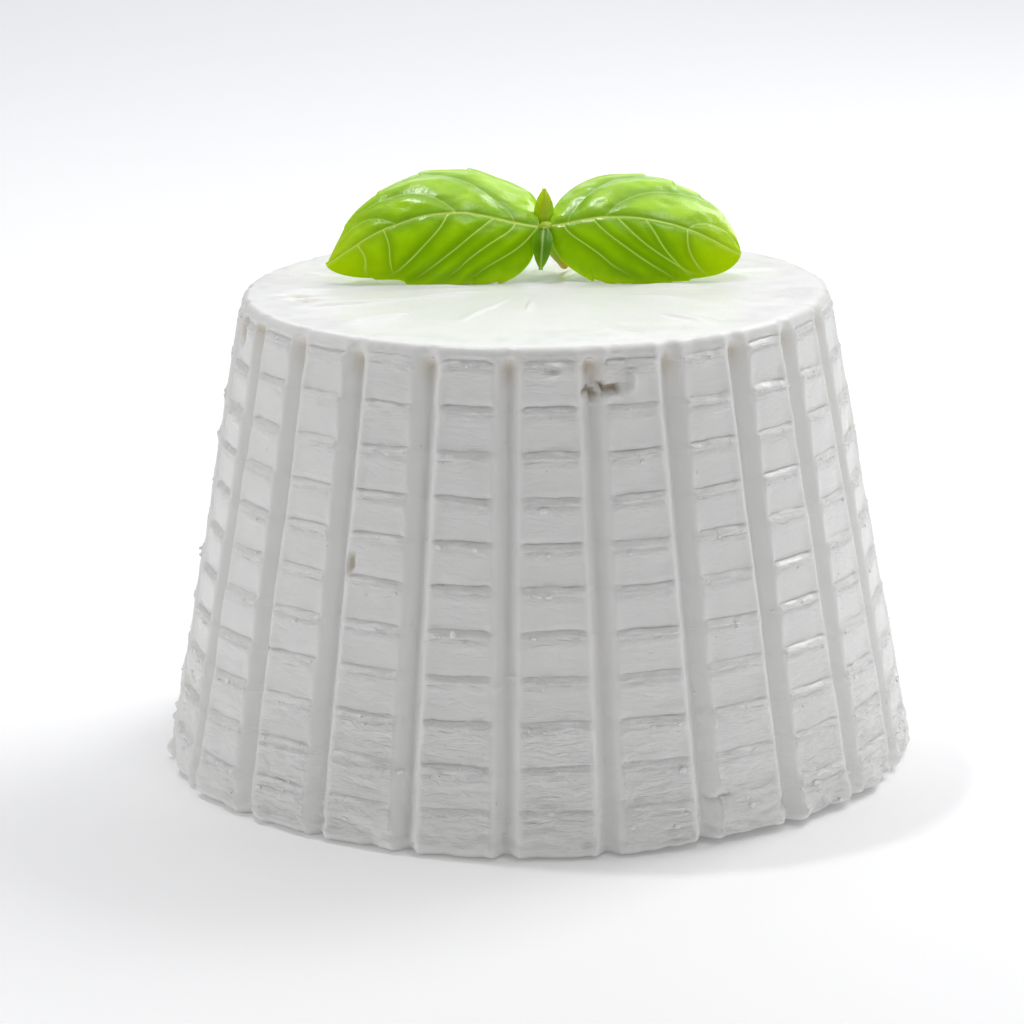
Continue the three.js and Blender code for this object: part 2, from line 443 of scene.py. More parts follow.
# %% Flaws
FLAWS = {
    # name: (angle in degrees, height, half width, half height, push in mm, sharpness, warm tint, which is
    # painted shade)
    "chip_face": (14.2, 88.4, 4.0, 3.5, -0.6, 0.85, 0.05),
    "chip_left_pocket": (9.9, 85.5, 1.9, 0.8, -1.4, 0.8, 0.75),
    "chip_right_pocket": (13.5, 86.1, 1.9, 0.8, -1.6, 0.8, 0.75),
    "chip_middle_pocket": (11.6, 87.0, 0.8, 0.6, -1.0, 0.7, 0.5),
    "chip_left_lip": (10.1, 84.3, 1.6, 0.6, 0.8, 0.5, 0.0),
    "chip_right_lip": (13.9, 85.0, 1.9, 0.5, 1.0, 0.5, 0.0),
    "chip_ridge": (17.7, 87.5, 0.7, 2.4, 1.5, 0.45, 0.0),
    "curd_in_chip": (11.6, 85.9, 0.6, 1.2, 1.2, 0.5, 0.0),
    "shaded_groove_top": (9.2, 90.0, 0.9, 1.9, -0.2, 0.4, 0.45),
    "shaded_rim_groove_left": (-66, 90.6, 2.6, 1.3, -0.1, 0.4, 0.4),
    "notch_left": (-75, 89.0, 2.2, 2.6, -1.8, 0.5, 0.8),
    "pit_left": (-32.2, 53.0, 0.8, 1.7, -1.1, 0.6, 0.8),
    "grain_top": (3.0, 89.2, 1.3, 0.6, 0.8, 0.5, 0.0),
    "grain_groove_low": (-6.3, 32.2, 0.7, 0.6, 0.8, 0.5, 0.0),
    "grain_groove_high": (-4.4, 34.0, 0.7, 0.6, 0.8, 0.5, 0.0),
    "grain_foot": (18.8, 12.5, 0.8, 0.9, 0.9, 0.5, 0.0),
    "stick_left": (5.3, 7.0, 0.35, 2.7, 0.5, 0.5, 0.0),
    "stick_right": (6.9, 6.4, 0.35, 2.6, 0.4, 0.5, 0.0),
    "stick_hollow": (6.1, 6.6, 0.7, 2.6, -0.35, 0.6, 0.0),
    "foot_dent_right": (38, 5.0, 3.0, 2.2, -0.7, 0.5, 0.0),
    "foot_dent_front": (-6, 4.0, 4.0, 1.6, -0.5, 0.5, 0.0),
    "foot_tear_right": (27, 9.2, 2.6, 0.8, -0.6, 0.6, 0.0),
    "foot_tear_front": (13, 10.6, 4.2, 0.6, -0.6, 0.6, 0.0),
}


def flaw_push(angle, height, radius):
    """Sums of the flaws' pushes and warm tints; the tints are painted shade in the hollows.
    Each is an oval patch whose outline wanders with noise, so that it looks broken and not
    stamped."""
    total = np.zeros(np.broadcast(angle, height).shape)
    painted_warm_shade = np.zeros_like(total)
    ragged = 0.2 * smooth_noise(angle * radius / 0.9 + 500, height / 0.8, 45)
    for place, level, half_width, half_height, push, sharpness, tint in FLAWS.values():
        turn_off = (angle - math.radians(place) + math.pi) % (2 * math.pi) - math.pi
        oval = np.hypot(turn_off * radius / half_width, (height - level) / half_height)
        patch = 1 - smoothstep(sharpness, 1.15, oval + ragged)
        total += push * patch
        # Painted shade: each flaw's warm tint darkens and warms the colour of its hollow.
        painted_warm_shade += tint * patch
    return total, painted_warm_shade


# %% The wall's whole surface
SWELLS = (
    # height in mm, cells round the wall, mm of height for each cell, seed
    (0.35, 12, 38, 41),
    (0.12, 46, 9, 42),
    (0.05, 150, 2.8, 43),
)


def wall_surface(height, line, drop):
    """Points of the wall for rows at these heights, with three numbers for the material: how
    much painted warm shade each point takes in the hollows, how creased and how wet it is.
    Pushes go along the radius, in mm."""
    arc, angle, sector = column_places(mean_radius(height))
    height = height[:, None]
    line = line[:, None]
    drop = drop[:, None]
    radius = mean_radius(height)
    turns = angle / (2 * math.pi)
    across = 2 * arc / sector - 1

    def ripple(count, rise, seed):
        """Smooth noise with this many cells round the wall."""
        return smooth_noise(turns * count, rise, seed, count)

    def line_move(number):
        """How far a panel's upper line is moved up or down along its length."""
        panel = (sector_number, number)
        move = line_offset[panel] + line_tilt[panel] * across
        move += line_bow[panel] * (1 - 3 * across ** 2)
        move += 0.1 * ripple(260, number * 7.3 + 0.5, 21)
        return move + 0.08 * ripple(560, number * 3.1 + 0.5, 22)

    share = np.where(line < 0, 1.0, np.clip(drop / COURSE_HEIGHT, 0, 1))
    moved = line_move(line + 1) * (1 - share) + line_move(line + 2) * share
    moved *= smoothstep(0.0, 12.0, height) * smoothstep(HEIGHT, line_heights[0] - 1, height)

    side = np.where(arc < sector / 2, 1.0, -1.0)
    distance = np.minimum(arc, sector - arc)
    wander = 0.14 * smooth_noise(turns * 24 * side, height / 5, 11, 24)
    wander += 0.1 * smooth_noise(turns * 24 + 3, height / 1.7, 12, 24)
    distance = np.abs(distance + wander * smoothstep(0, 1.2, distance))

    low = smoothstep(36, 8, height)
    here = (sector_number, line + 1)
    strength = line_strength[here] * (1 - share)
    strength = strength + line_strength[sector_number, line + 2] * share
    strength *= 1 + 0.35 * ripple(200, line * 2.3 + 0.5, 32) - 0.25 * low
    steps = course_step(drop, strength, second_step[here])
    above_first = np.where(line < 0, smoothstep(HEIGHT - 2.0, HEIGHT - 3.0, height), 1.0)
    steps = steps * above_first

    fade = smoothstep(HEIGHT - 0.4, HEIGHT - 4.5, height)
    groove = groove_profile(distance) * fade
    lip = lip_profile(distance) * fade

    swell = 0.0
    for size, count, rise, seed in SWELLS:
        swell = swell + size * ripple(count, height / rise, seed)
    near_rim = smoothstep(HEIGHT - 7, HEIGHT - 2, height)
    swell += 0.12 * ripple(260, height / 1.4, 44) * near_rim
    swell += panel_swell[here] * (1 - across ** 2) * (1 - groove)
    crease = ripple(70, height / 1.5 + 2 * np.sin(turns * 80), 51)
    crease += 0.7 * ripple(150, height / 0.9, 52)
    creased = 0.15 + 0.85 * low * (0.6 + 0.4 * ripple(31, height / 9, 53))
    face = smoothstep(GROOVE_HALF_WIDTH + 0.7, GROOVE_HALF_WIDTH + 2.0, distance)
    crease *= 0.45 * creased * (0.25 + 0.75 * face) * (1 - groove)
    foot = smoothstep(8.0, 1.5, height)
    ragged_foot = 0.8 * ripple(70, height / 4, 54)
    ragged_foot += 0.7 * ripple(210, height / 1.6, 55)
    ragged_foot *= foot

    flaws, painted_warm_shade = flaw_push(angle, height + moved, radius)
    cupped = -0.16 * (1 - across ** 2) * smoothstep(1.5, 3.0, drop) * (1 - groove)
    broken = 0.6 + 0.4 * ripple(36, line * 3.1 + 0.5, 63)
    torn = 0.42 * broken * bump(drop - 0.7, 0.6)
    torn = torn * ripple(380, line * 1.7 + drop * 1.3, 62)
    panel = (steps + cupped + torn) * face + 0.3 * lip
    groove_floor = (-GROOVE_DEPTH + 0.05 * ripple(300, height / 1.8, 61)) * groove
    push = panel + groove_floor + swell + crease + ragged_foot + flaws
    reach = radius + push
    overhang = -0.12 * bump(drop - 7.9, 0.2) * (line < COURSE_LINES - 1)
    level = height + (moved + overhang) * face
    points = np.stack([reach * np.sin(angle), -reach * np.cos(angle), level], -1)
    # Painted shade: the tops of the grooves, under the rim, take a warm, darker tint.
    groove_top_painted_shade = groove * smoothstep(HEIGHT - 9, HEIGHT - 3, height) * 0.55
    marks = {
        "hollow_shade": np.clip(painted_warm_shade + groove_top_painted_shade, 0, 1),
        "creased": np.clip((creased + bump(drop - 1.2, 1.3) * 0.5) * (0.2 + 0.8 * face), 0, 1),
        "wet": np.clip(0.8 * bump(drop - 0.6, 0.5) * face + 0.25 * lip, 0, 1),
    }
    return points, marks


def foot_lift(x, y):
    """How far the foot's edge stands off the table: a little here and there, and most of all
    at the front right."""
    turns = np.arctan2(x, -y) / (2 * math.pi)
    lifted = np.clip(smooth_noise(turns * 50, turns * 0 + 2.5, 76, 50) - 0.1, 0, 1)
    lean = 1.2 * smoothstep(0.03, 0.07, turns) * smoothstep(0.24, 0.17, turns)
    return 0.5 * lifted + lean * (0.75 + 0.25 * smooth_noise(turns * 140, turns * 0 + 5.5, 77, 140))


wall_points, wall_marks = wall_surface(row_height, row_line, row_drop)
wall_levels = wall_points[..., 2]
print("wall from", round(float(wall_levels.min()), 2), "to", round(float(wall_levels.max()), 2))

# %% [markdown]
# ### Rounding the foot and the rim
#
# The wall's end rows carry on inwards over a quarter circle, under the foot and over the
# rim. Each new row keeps the outline of the wall's last row.


# %% Quarter rounds
def rounded_rows(edge, edge_height, end_height, rounding, steps):
    """Rows that turn from the wall to level: row k has gone k/steps of a quarter circle, in
    by rounding times (1 - cos) and towards the end height by the sine."""
    radius = np.hypot(edge[:, 0], edge[:, 1])
    direction = edge[:, :2] / radius[:, None]
    made = []
    for k in range(1, steps + 1):
        quarter = 0.5 * math.pi * k / steps
        inward = rounding * (1 - math.cos(quarter))
        reach = (radius - inward)[:, None] * direction
        lift = edge[:, 2] - edge_height
        level = edge_height + (end_height - edge_height) * math.sin(quarter) + lift * (1 - k / steps)
        made.append(np.column_stack([reach, level]))
    return np.array(made)


rim_rows = rounded_rows(wall_points[-1], row_height[-1], HEIGHT, HEIGHT - row_height[-1], 6)
foot_edge = foot_lift(wall_points[0, :, 0], wall_points[0, :, 1])
foot_rows = rounded_rows(wall_points[0], row_height[0], foot_edge, row_height[0], 5)[::-1]
print("rim rounding, mm:", round(HEIGHT - row_height[-1], 2), "foot rounding, mm:", round(row_height[0], 2))

# %% [markdown]
# ### The top face and the underside
#
# Rings run from the edge to the middle, with half the columns each time the circle has about
# halved. The top keeps faint spokes, the print of the basket's bottom, and two dents.

# %% Ring radii
TOP_RINGS = (
    (0.965, 0.93, 0.895, 0.86, *np.linspace(0.83, 0.71, 7), 0.675, 0.64, 0.6, 0.56),
    np.linspace(0.52, 0.26, 7),
    np.linspace(0.22, 0.1, 4),
    (0.06, 0.02),
)
UNDER_RINGS = ((0.97,), (0.9, 0.75, 0.55), (0.4, 0.2), (0.1, 0.03))


def dent_share(x, y):
    """1 in the middle of the two dents of the top face, 0 away from them: two bells."""
    first = bump(np.hypot((x + 44.6) / 1.6, y + 10.1), 1.3)
    return first + bump(np.hypot((x + 46.4) / 1.6, y + 5.9), 1.1)


def top_height(x, y):
    """Height of the top face above or below its level: a slow swell, low flat-topped spokes,
    a ring near the rim, and two dents."""
    angle = np.arctan2(x, -y)
    radius = np.hypot(x, y)
    swell = 0.16 * smooth_noise(x / 17 + 40, y / 17 + 40, 71)
    swell += 0.09 * smooth_noise(x / 3.5 + 60, y / 3.5 + 60, 72)
    wobble = 0.02 * smooth_noise(radius / 9, angle * 4, 73)
    spoke = smoothstep(0.76, 0.88, np.cos(16 * (angle + wobble) + 0.5))
    spoke = spoke * smoothstep(8, 18, radius) * smoothstep(53, 44, radius)
    held = smoothstep(-0.3, 0.6, smooth_noise(angle * 3 + 30, radius / 14 + 9, 74))
    ring = bump(radius - 50 - 0.6 * smooth_noise(angle * 6 + 9, radius * 0, 75), 0.9)
    return swell + 0.5 * spoke * held + 0.25 * ring * held - 1.4 * dent_share(x, y)


def disc_rings(edge, level, shape, groups):
    """Rings of points inside an edge ring, with the middle point last. Each ring scales the
    edge towards the axis, and each new group drops every second column."""
    rings = [edge]
    columns = edge
    for group, scales in enumerate(groups):
        if group:
            columns = columns[::2]
        for scale in scales:
            flat = columns[:, :2] * scale
            round_radius = np.hypot(columns[:, 0], columns[:, 1]).mean() * scale
            unit = flat / np.hypot(flat[:, 0], flat[:, 1])[:, None]
            keep = smoothstep(0.8, 1.0, scale)
            flat = flat * keep + unit * round_radius * (1 - keep)
            settle = smoothstep(1.0, 0.93, scale)
            carried = smoothstep(0.9, 1.0, scale) * (columns[:, 2] - level)
            height = level + carried + settle * shape(flat[:, 0], flat[:, 1])
            rings.append(np.column_stack([flat, height]))
    rings.append(np.array([[0, 0, level + float(shape(np.zeros(1), np.zeros(1))[0])]]))
    return rings


# %% Faces between rings
def ring_faces(outer_start, outer_count, inner_start, inner_count, facing_up):
    """Faces between two rings: quads if they are equal, three triangles for each inner point
    if the inner ring has half the points, and a fan round a single inner point."""
    j = np.arange(outer_count)
    after = (j + 1) % outer_count
    if inner_count == 1:
        faces = faces_of(outer_start + j, outer_start + after, inner_start)
    elif inner_count == outer_count:
        faces = faces_of(outer_start + j, outer_start + after, inner_start + after, inner_start + j)
    else:
        m = np.arange(inner_count)
        inner = inner_start + m
        following = inner_start + (m + 1) % inner_count
        first = outer_start + 2 * m
        last = outer_start + (2 * m + 2) % outer_count
        faces = faces_of(first, first + 1, inner)
        faces += faces_of(first + 1, following, inner)
        faces += faces_of(first + 1, last, following)
    return faces if facing_up else [face[::-1] for face in faces]


# %% Sew the skin together
top_rings = disc_rings(rim_rows[-1], HEIGHT, top_height, TOP_RINGS)
under_rings = disc_rings(foot_rows[0], 0.0, lambda x, y: 0 * x, UNDER_RINGS)
side_rings = [*foot_rows, *wall_points, *rim_rows]
rings = [*under_rings[:0:-1], *side_rings, *top_rings[1:]]
starts = np.cumsum([0] + [len(ring) for ring in rings])
skin_faces = []
for number in range(len(rings) - 1):
    lower, upper = rings[number], rings[number + 1]
    if len(lower) >= len(upper):
        skin_faces += ring_faces(starts[number], len(lower), starts[number + 1], len(upper), True)
    else:
        skin_faces += ring_faces(starts[number + 1], len(upper), starts[number], len(lower), False)
skin_points = np.concatenate(rings)
first_wall = int(starts[len(under_rings) - 1 + len(foot_rows)])
skin_marks = {}
for key, values in wall_marks.items():
    skin_marks[key] = np.zeros(len(skin_points))
    skin_marks[key][first_wall:first_wall + values.size] = values.ravel()

skin_x, skin_y, skin_z = skin_points.T
on_top = skin_z > HEIGHT - 2
# Painted shade: the two dents of the top face take the same warm, darker colour.
skin_marks["hollow_shade"] += 0.9 * on_top * dent_share(skin_x, skin_y)
films = smooth_noise(skin_x / 3.2 + 90, skin_y / 3.2 + 90, 78)
near_rim = smoothstep(44, 54, np.hypot(skin_x, skin_y))
skin_marks["wet"] += on_top * smoothstep(0.0, 0.6, films) * (0.04 + 0.2 * near_rim)
cheese = add_mesh("ricotta_skin", skin_points, skin_faces, skin_marks)

# %% [markdown]
# ## Grains of curd
#
# Where the curd tore from the basket it left grains: on the ledges, in the grooves and along
# the foot. Each is a lumpy ball of 26 points, sunk about a third into the skin, and all of
# them are one object.


# %% One lumpy ball, many times
def ball_grid():
    """Directions of a ball's points and its faces: a pole, four rings of six points, and the
    other pole."""
    turn_down = np.repeat(math.pi * np.arange(1, 5) / 5, 6)
    turn_round = np.tile(2 * math.pi * np.arange(6) / 6, 4)
    wide = np.sin(turn_down)
    around = [wide * np.cos(turn_round), wide * np.sin(turn_round), np.cos(turn_down)]
    points = np.concatenate([[[0, 0, 1]], np.stack(around, -1), [[0, 0, -1]]])
    ring = 1 + np.arange(24).reshape(4, 6)
    after = np.roll(ring, -1, axis=1)
    faces = faces_of(ring[:-1], ring[1:], after[1:], after[:-1])
    faces += faces_of(0, ring[0], after[0])
    faces += faces_of(len(points) - 1, after[-1], ring[-1])
    return points, faces


def grains_on(points, choose, sizes, seed):
    """Grains at chosen points of a grid: balls stretched along the wall and flattened towards
    it, with each point moved in or out by up to a quarter."""
    random = np.random.default_rng(seed)
    along = np.roll(points, -1, axis=1) - np.roll(points, 1, axis=1)
    outward = np.cross(along, np.gradient(points, axis=0))
    along = unit(along[choose])
    outward = unit(outward[choose])
    across = np.cross(outward, along)
    ball, faces = ball_grid()
    count = len(sizes)
    lumps = ball * random.uniform(0.75, 1.25, (count, len(ball), 1)) * sizes[:, None, None]
    stretch = (random.uniform(0.9, 1.8, count), random.uniform(0.7, 1.1, count))
    lumps *= np.stack([*stretch, np.full(count, 0.6)], -1)[:, None]
    placed = lumps[..., :1] * along[:, None] + lumps[..., 1:2] * across[:, None]
    placed += lumps[..., 2:] * outward[:, None]
    placed += (points[choose] + 0.2 * sizes[:, None] * outward)[:, None]
    every = []
    for number in range(count):
        every += [[corner + number * len(ball) for corner in face] for face in faces]
    return placed.reshape(-1, 3), every


# %% Scatter the grains
grain_random = np.random.default_rng(17)
ledge_rows = np.flatnonzero((row_drop > 0.3) & (row_drop < 2.3) & (row_line >= 0))
GROUPS = (
    # rows to choose from, columns to choose from within a sector, how many, mean size in mm
    (ledge_rows, np.arange(7, 18), 360, 0.27),
    (np.arange(len(row_height)), np.array([0, 1, 2, 3, 21, 22, 23]), 110, 0.2),
    (np.arange(len(row_height)), np.arange(24), 130, 0.25),
    (np.arange(9), np.arange(24), 70, 0.4),
)
picked_rows, picked_columns, picked_sizes = [], [], []
for rows_allowed, columns_allowed, count, size in GROUPS:
    picked_rows.append(grain_random.choice(rows_allowed, count))
    sector = grain_random.integers(0, SECTORS, count) * (GROOVE_COLUMNS + PANEL_COLUMNS)
    picked_columns.append(sector + grain_random.choice(columns_allowed, count))
    picked_sizes.append(size * grain_random.lognormal(0, 0.35, count))
chosen = (np.concatenate(picked_rows), np.concatenate(picked_columns))
grain_points, grain_faces = grains_on(wall_points, chosen, np.concatenate(picked_sizes), 18)
grains = add_mesh("ricotta_curd_grains", grain_points, grain_faces, {})

# %% [markdown]
# ## Fresh ricotta, drained and turned out
#
# Wet curd scatters light just under its surface, so its shadows are soft and a little warm.
# The whey on it gives a weak gloss that wanders, and a fine bump of curd grain breaks it up.

# %% Ricotta material
CURD_GRAIN_MM = 0.8
PORE_SPACING_MM = 3.2
CREASE_LENGTH_MM = 4.2
CREASE_HEIGHT_MM = 1.15


def ricotta_material():
    """White curd, with painted warm shade in the hollows. The gloss wanders, with a film of whey
    on the lips; bumps add curd grain, pores, and short level creases where the curd was squeezed."""
    material, tree, output, place = new_material("fresh_ricotta_moulded")
    patches = noise(tree, place, 11, 3.0)
    tone = blend(tree, patches, "#f9f9f7", "#f5f4f1")
    # Painted shade: the base colour darkens and warms towards #ddd2ba in the hollows.
    painted_warm_shade = blend(tree, attribute(tree, "hollow_shade"), tone, "#ddd2ba")
    pores = add_node(tree, "ShaderNodeTexVoronoi", None, {"Vector": place}, Scale=1 / (PORE_SPACING_MM * MM))
    level = add_node(tree, "ShaderNodeMapping", None, {"Vector": place})
    level.inputs["Scale"].default_value = (1, 1, CREASE_LENGTH_MM / CREASE_HEIGHT_MM)
    creases = add_node(tree, "ShaderNodeTexNoise", None, {"Vector": level.outputs["Vector"]}, Detail=3.0)
    creases.inputs["Scale"].default_value = 1 / (CREASE_LENGTH_MM * MM)
    creases.inputs["Distortion"].default_value = 1.2
    squeezed = combine(tree, "MULTIPLY", creases.outputs["Fac"], attribute(tree, "creased"))
    fine = relief(tree, noise(tree, place, CURD_GRAIN_MM, 4.0), 0.6, 0.12)
    holes = relief(tree, move_range(tree, pores.outputs["Distance"], (0, 0.16)), 0.15, 0.15, fine)
    lines = relief(tree, squeezed, 1.0, 1.3, holes)
    gloss = move_range(tree, patches, target=(0.24, 0.42))
    wet = attribute(tree, "wet")
    links = {"Base Color": painted_warm_shade, "Normal": lines, "Roughness": gloss, "Coat Weight": wet}
    return surface(
        material, tree, output, links, IOR=1.4, Coat_Roughness=0.2,
        Subsurface_Weight=0.5, Subsurface_Radius=(1.0, 0.96, 0.9), Subsurface_Scale=0.9 * MM,
    )


def grain_material():
    """Loose grains of the same curd, too small to need scattering."""
    material, tree, output, place = new_material("loose_ricotta_grains")
    curd = relief(tree, noise(tree, place, CURD_GRAIN_MM, 2.0), 0.3, 0.05)
    links = {"Normal": curd}
    return surface(material, tree, output, links, Base_Color=colour("#fdfdfb"), Roughness=0.3)


ricotta_skin = ricotta_material()
loose_grains = grain_material()
hand_over(cheese, "ricotta_cheese", ricotta_skin)
hand_over(grains, "ricotta_cheese", loose_grains)
print("materials:", ricotta_skin.name, loose_grains.name)

# %% [markdown]
# ## The basil blades
#
# A basil leaf arches over its midrib and puffs up between its side veins, like a quilt. The
# puffs catch the light, so they are real relief: the blade is carried along its midrib, with
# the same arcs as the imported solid, and then pushed along its own normal.


# %% Curve through a few points
def smooth_curve(points, u):
    """Points and directions on a centripetal Catmull-Rom curve: cubics between points, with
    knots spaced by the square root of the distance and slopes from the chords on both sides,
    weighted by that spacing. Past the ends the last chord is mirrored."""
    nodes = np.array(points, float)
    nodes = np.vstack([2 * nodes[0] - nodes[1], nodes, 2 * nodes[-1] - nodes[-2]])
    spans = len(points) - 1
    step = np.minimum((u * spans).astype(int), spans - 1)
    t = (u * spans - step)[..., None]
    p0, p1, p2, p3 = (nodes[step + k] for k in range(4))
    chords = (p1 - p0, p2 - p1, p3 - p2)
    d0, d1, d2 = (np.sqrt(np.linalg.norm(c, axis=-1, keepdims=True)) for c in chords)
    slope1 = ((p1 - p0) / d0 - (p2 - p0) / (d0 + d1) + (p2 - p1) / d1) * d1
    slope2 = ((p2 - p1) / d1 - (p3 - p1) / (d1 + d2) + (p3 - p2) / d2) * d1
    bend = -3 * p1 + 3 * p2 - 2 * slope1 - slope2
    twist = 2 * p1 - 2 * p2 + slope1 + slope2
    place = p1 + slope1 * t + bend * t ** 2 + twist * t ** 3
    direction = slope1 + 2 * bend * t + 3 * twist * t ** 2
    return place, unit(direction)


# %% A blade's resting surface
def half_width(half, u):
    """reach times sin(pi u^swell) to a power that goes from full to full + taper."""
    reach, swell, full, taper = half
    wave = np.clip(np.sin(math.pi * u ** swell), 0, 1)
    return reach * wave ** (full + taper * u)


def blade_surface(blade, u, v):
    """The blade's middle surface at u along the midrib and v across, -1 to 1. Across it is an
    arc of a circle: `lean` is its angle at the midrib and `arch` how much the angle falls to
    the far edge. Both ease towards the tip with u to the fourth power."""
    centre, along = smooth_curve(blade["midrib"], u)
    side = np.array(blade["side"], float)
    back = unit(side - along * (along @ side)[..., None])
    rise_way = np.cross(back, along)
    rise_way *= np.sign(rise_way[..., 2:3])
    ease = u ** 4
    lean = np.radians(blade["lean"] + blade["tip_lean"] * ease)
    arch = np.radians(blade["arch"] * (1 - blade["flatten"] * ease))
    width = np.where(v < 0, half_width(blade["near"], u), half_width(blade["far"], u))
    width = np.maximum(width * blade["edge"](u, v), 0.45)
    across = width * (np.sin(lean) - np.sin(lean - arch * v)) / arch
    lift = width * (np.cos(lean - arch * v) - np.cos(lean)) / arch
    return centre + back * across[..., None] + rise_way * lift[..., None], width


# %% Teeth and veins
def toothed_edge(near_ends, far_ends, depth):
    """A share of the blade's width that makes low saw teeth at its edge. Each tooth grows in
    a straight line up to its end and steps back there."""
    def edge(u, v):
        total = np.zeros(u.shape)
        for ends, side in ((near_ends, v < 0), (far_ends, v >= 0)):
            stations = np.concatenate([(end - 0.1, end, end + 0.01) for end in ends])
            total += np.interp(u, stations, (0, 1, 0) * len(ends)) * side
        return 1 + depth * total * smoothstep(0.7, 1.0, np.abs(v))
    return edge


def vein_distance(u, v, width, length, veins):
    """Distance in mm to the nearest side vein. A vein (start, run, bend) follows
    u = start + run ((1 - bend) v + bend v^2), which turns to the tip near the margin."""
    nearest = np.full(u.shape, 99.0)
    line = np.abs(v)
    for start, run, bend in veins:
        path = start + run * ((1 - bend) * line + bend * line ** 2)
        path += 0.005 * np.sin(9 * line + 40 * start)
        slope = run * (1 - bend + 2 * bend * line) * length / width
        nearest = np.minimum(nearest, np.abs(u - path) * length / np.hypot(1, slope))
    return nearest


# %% Closed sheets
def closed_sheet(name, upper, lower, attributes):
    """A closed mesh from an upper and a lower grid of points, with faces round the edge."""
    rows_count, columns_count = upper.shape[:2]
    number = np.arange(rows_count * columns_count).reshape(rows_count, columns_count)
    under = number + number.size
    faces = faces_of(number[:-1, :-1], number[1:, :-1], number[1:, 1:], number[:-1, 1:])
    faces += faces_of(under[:-1, :-1], under[:-1, 1:], under[1:, 1:], under[1:, :-1])
    faces += faces_of(number[:-1, 0], under[:-1, 0], under[1:, 0], number[1:, 0])
    faces += faces_of(number[:-1, -1], number[1:, -1], under[1:, -1], under[:-1, -1])
    faces += faces_of(number[0, :-1], number[0, 1:], under[0, 1:], under[0, :-1])
    faces += faces_of(number[-1, :-1], under[-1, :-1], under[-1, 1:], number[-1, 1:])
    faces = np.array(faces)
    points = np.concatenate([upper.reshape(-1, 3), lower.reshape(-1, 3)])
    both = {key: np.tile(values.ravel(), 2) for key, values in attributes.items()}
    corners = points[faces[:, :3]]
    normal = np.cross(corners[:, 1] - corners[:, 0], corners[:, 2] - corners[:, 0])
    if (normal * corners[:, 0]).sum() < 0:
        faces = faces[:, ::-1]
    return add_mesh(name, points, faces.tolist(), both)


def surface_normal(points, facing):
    """Unit normals of a grid of points, on the side that `facing` points to."""
    along = np.gradient(points, axis=0)
    across = np.gradient(points, axis=1)
    normal = unit(np.cross(along, across))
    if (normal @ np.array(facing, float)).mean() < 0:
        normal = -normal
    return normal


# %% Build one blade
def build_blade(name, blade, rows_count, columns_count):
    """Relief on the upper side: puffs between the veins, furrows along them and the midrib,
    and a slow ripple. The lower side shows the midrib as a round keel."""
    u, v = np.meshgrid(np.linspace(0, 1, rows_count), np.linspace(-1, 1, columns_count), indexing="ij")
    middle, width = blade_surface(blade, u, v)
    normal = surface_normal(middle, blade["facing"])
    from_midrib = np.abs(v) * width
    near = vein_distance(u, v, width, blade["length"], blade["near_veins"])
    far = vein_distance(u, v, width, blade["length"], blade["far_veins"])
    side_vein = np.where(v < 0, near, far)
    nearest = np.minimum(side_vein, from_midrib * 0.9)
    rim = smoothstep(1.0, 0.8, np.abs(v))
    half = 0.5 + 0.2 * np.tanh(3 * v)
    puff = blade["puff"] * half * (1 - bump(nearest, blade["puff_width"]))
    puff = puff * rim * smoothstep(1.05, 0.55, u)
    run = u * blade["length"]
    reach = v * width
    ripple = 0.4 * smooth_noise(run / 2.2, reach / 1.6 + 90, blade["seed"]) * rim * half
    ripple += 0.9 * smooth_noise(run / 7, reach / 7 + 90, blade["seed"] + 10)
    furrow = 0.04 * bump(side_vein, 0.25) * rim + 0.12 * bump(from_midrib, 0.5)
    raised = (puff + ripple * blade["puff"] - furrow) * smoothstep(0.0, 0.06, u)
    keel = 0.5 * bump(from_midrib, 0.5) * smoothstep(1.0, 0.6, u)
    half_thick = 0.5 * blade["thickness"]
    upper = middle + normal * (raised + half_thick)[..., None]
    lower = middle + normal * (raised - half_thick - keel)[..., None]
    fade = smoothstep(1.0, 0.6, np.abs(v)) * smoothstep(1.0, 0.9, u)
    rib = 0.12 + 0.14 * (1 - u)
    share = (0.95 - 0.45 * (v > 0)) * fade
    vein = np.maximum(share * bump(side_vein, 0.13), bump(from_midrib, rib))
    attributes = {
        "vein": vein,
        "along": u,
        "edge": np.abs(v),
        "upper_half": smoothstep(-0.4, 0.1, v),
        # Painted light share for the colour: 0 beside the veins, 1 on the lobes between them.
        "painted_lobe_light": 1 - bump(nearest, 1.6),
    }
    return closed_sheet(name, upper, lower, attributes)


# %% The two large leaves
LEFT_LEAF = {
    "midrib": [(0.8, 10, 104.2), (-15, 8.2, 107.6), (-29.5, 7.2, 105), (-41.6, 6, 97.6)],
    "near": (15.0, 0.69, 0.37, 0.25), "far": (15.6, 0.61, 0.26, 0.8),
    "side": (0, 1, 0), "facing": (0, -0.6, 0.8),
    "lean": 46, "tip_lean": 18, "arch": 44, "flatten": 0.8, "length": 43,
    "near_veins": (
        (0.0, 0.3, 0.9), (0.1, 0.4, 0.9), (0.18, 0.5, 0.6),
        (0.38, 0.47, 0.6), (0.68, 0.09, 0.6), (0.82, 0.06, 0.5),
    ),
    "far_veins": ((0.1, 0.45, 0.6), (0.34, 0.6, 0.6), (0.62, 0.4, 0.6)),
    "puff": 0.4, "puff_width": 1.5, "thickness": 0.3, "seed": 81,
    "edge": toothed_edge((0.11, 0.23, 0.69, 0.85), (0.28, 0.47, 0.65, 0.83), 0.05),
}
